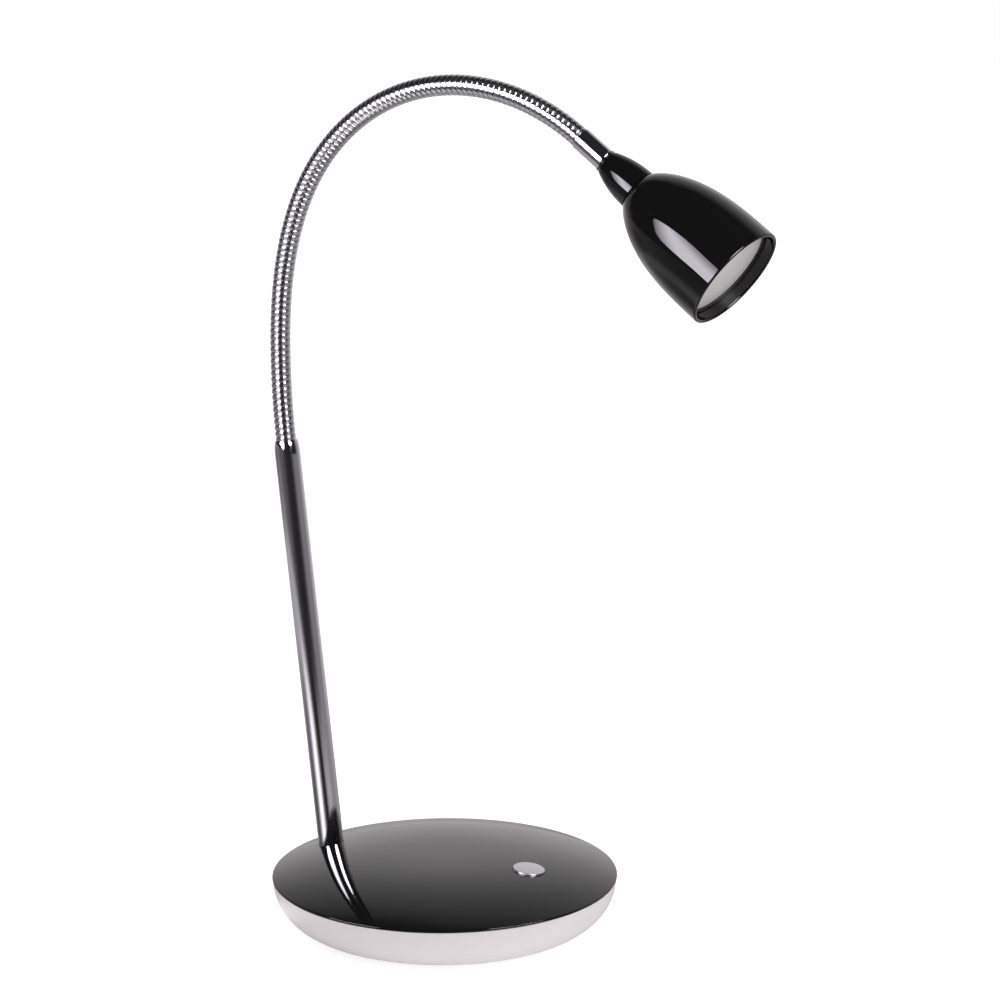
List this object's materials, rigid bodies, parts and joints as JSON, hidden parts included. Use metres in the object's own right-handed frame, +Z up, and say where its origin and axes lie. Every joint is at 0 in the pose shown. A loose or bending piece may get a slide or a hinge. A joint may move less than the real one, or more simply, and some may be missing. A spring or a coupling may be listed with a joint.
{
  "type": "gooseneck desk lamp",
  "caption": "Desk lamp with a weighted round base, push button, leaning chrome stem, flexible ribbed neck and small bullet-shaped LED head.",
  "frame": {"origin": "centre of the underside, on the flat face of the foot pad", "axes": "+Z up; +X from the stem, across the middle of the base, to the push button"},
  "size_m": [0.2206, 0.135, 0.3386],
  "materials": {
    "gloss_black": "moulded, high gloss",
    "dish_white": "moulded, satin",
    "chrome": "bright plated",
    "button_satin": "satin",
    "lens_frosted": "frosted",
    "foot_rubber": "matt",
    "ballast_steel": "plain rolled",
    "socket_steel": "turned",
    "screw_zinc": "zinc plated",
    "set_screw_black": "black oxide",
    "black_matt": "fine texture",
    "clamp_plastic": "plain",
    "circuit_board": "solder mask",
    "tape_yellow": "wrapped tape",
    "can_blue": "sleeved",
    "terminal_green": "plain",
    "plunger_white": "plain",
    "spring_steel": "bright wire",
    "wire_red": "insulated wire",
    "lead_white": "insulated lead",
    "nipple_brass": "threaded",
    "sink_aluminium": "cast",
    "led_board_white": "white coated",
    "led_yellow": "phosphor"
  },
  "bodies": {
    "root": {"foot_pad": "foot_rubber", "lower_dish": "dish_white", "top_cover": "gloss_black", "base_screws": "screw_zinc", "weight_disc": "ballast_steel", "stem_socket": "socket_steel", "set_screw": "set_screw_black", "cord_gland": "black_matt", "cord_clamp": "clamp_plastic", "driver_board": "circuit_board", "driver_transformer": "tape_yellow", "driver_capacitors": "can_blue", "driver_chips": "black_matt", "terminal_block": "terminal_green", "switch_board": "circuit_board", "switch_body": "black_matt", "button_spring": "spring_steel", "switch_wires": "wire_red", "small_screws": "screw_zinc", "stem": "chrome", "stem_lead": "lead_white", "neck_01": "chrome"},
    "button": {"button": "button_satin", "switch_plunger": "plunger_white"},
    "link_02": {"neck_02": "chrome", "neck_lead_02": "lead_white"},
    "link_03": {"neck_03": "chrome", "neck_lead_03": "lead_white"},
    "link_04": {"neck_04": "chrome", "neck_lead_04": "lead_white"},
    "link_05": {"neck_05": "chrome", "neck_lead_05": "lead_white"},
    "link_06": {"neck_06": "chrome", "neck_lead_06": "lead_white"},
    "link_07": {"neck_07": "chrome", "neck_lead_07": "lead_white"},
    "link_08": {"neck_08": "chrome", "neck_lead_08": "lead_white"},
    "link_09": {"neck_09": "chrome", "neck_lead_09": "lead_white"},
    "link_10": {"neck_10": "chrome", "neck_lead_10": "lead_white"},
    "link_11": {"neck_11": "chrome", "neck_lead_11": "lead_white"},
    "link_12": {"neck_12": "chrome", "neck_lead_12": "lead_white"},
    "head": {"neck_13": "chrome", "ferrule": "chrome", "neck_cap": "gloss_black", "head_nipple": "nipple_brass", "head_nut": "screw_zinc", "shade": "gloss_black", "heat_sink": "sink_aluminium", "led_board": "led_board_white", "led_chips": "led_yellow", "led_screws": "screw_zinc", "lens": "lens_frosted", "lens_ring": "black_matt", "head_lead": "lead_white"}
  },
  "joints": [
    {"name": "neck_sway", "type": "hinge", "parent": "root", "child": "link_02", "pos_m": [-0.07009, -0.00008, 0.20623], "axis": [0.9924, -0.1164, 0.0397], "range_deg": [-15, 15]},
    {"name": "neck_sway_2", "type": "hinge", "parent": "link_02", "child": "link_03", "pos_m": [-0.07033, -0.00029, 0.22543], "axis": [0.9931, -0.1158, -0.0171], "range_deg": [-15, 15]},
    {"name": "neck_sway_3", "type": "hinge", "parent": "link_03", "child": "link_04", "pos_m": [-0.06913, -0.00067, 0.24458], "axis": [0.9872, -0.1139, -0.1114], "range_deg": [-15, 15]},
    {"name": "neck_bend", "type": "hinge", "parent": "link_04", "child": "link_05", "pos_m": [-0.06579, -0.0013, 0.26346], "axis": [0.116, 0.9932, 0.0126], "range_deg": [-12.5, 10]},
    {"name": "neck_bend_2", "type": "hinge", "parent": "link_05", "child": "link_06", "pos_m": [-0.05966, -0.00225, 0.28161], "axis": [0.116, 0.9932, 0.0126], "range_deg": [-12.5, 10]},
    {"name": "neck_bend_3", "type": "hinge", "parent": "link_06", "child": "link_07", "pos_m": [-0.05026, -0.00356, 0.29826], "axis": [0.116, 0.9932, 0.0126], "range_deg": [-12.5, 10]},
    {"name": "neck_bend_4", "type": "hinge", "parent": "link_07", "child": "link_08", "pos_m": [-0.03755, -0.00522, 0.31251], "axis": [0.116, 0.9932, 0.0126], "range_deg": [-12.5, 10]},
    {"name": "neck_bend_5", "type": "hinge", "parent": "link_08", "child": "link_09", "pos_m": [-0.02206, -0.00717, 0.32361], "axis": [0.116, 0.9932, 0.0126], "range_deg": [-12.5, 10]},
    {"name": "head_bend", "type": "hinge", "parent": "link_09", "child": "link_10", "pos_m": [-0.00452, -0.00932, 0.33102], "axis": [0.116, 0.9932, 0.0126], "range_deg": [-12.5, 10]},
    {"name": "head_bend_2", "type": "hinge", "parent": "link_10", "child": "link_11", "pos_m": [0.01421, -0.01155, 0.33438], "axis": [0.116, 0.9932, 0.0126], "range_deg": [-12.5, 10]},
    {"name": "head_bend_3", "type": "hinge", "parent": "link_11", "child": "link_12", "pos_m": [0.03323, -0.01376, 0.33354], "axis": [0.116, 0.9932, 0.0126], "range_deg": [-12.5, 10]},
    {"name": "head_aim", "type": "hinge", "parent": "link_12", "child": "head", "pos_m": [0.0516, -0.01584, 0.32852], "axis": [-0.3626, 0.0542, -0.9304], "range_deg": [-15, 15]},
    {"name": "button_press", "type": "slide", "parent": "root", "child": "button", "axis": [-0.1264, 0, -0.992], "range_m": [0, 0.001], "stiffness_N_per_m": 900, "springref_m": -0.0015, "deforming": ["button_spring"]}
  ],
  "couplings": [
    {"joint": "neck_sway_2", "follows": "neck_sway", "ratio": 1},
    {"joint": "neck_sway_3", "follows": "neck_sway", "ratio": 1},
    {"joint": "neck_bend_2", "follows": "neck_bend", "ratio": 1},
    {"joint": "neck_bend_3", "follows": "neck_bend", "ratio": 1},
    {"joint": "neck_bend_4", "follows": "neck_bend", "ratio": 1},
    {"joint": "neck_bend_5", "follows": "neck_bend", "ratio": 1},
    {"joint": "head_bend_2", "follows": "head_bend", "ratio": 1},
    {"joint": "head_bend_3", "follows": "head_bend", "ratio": 1}
  ]
}
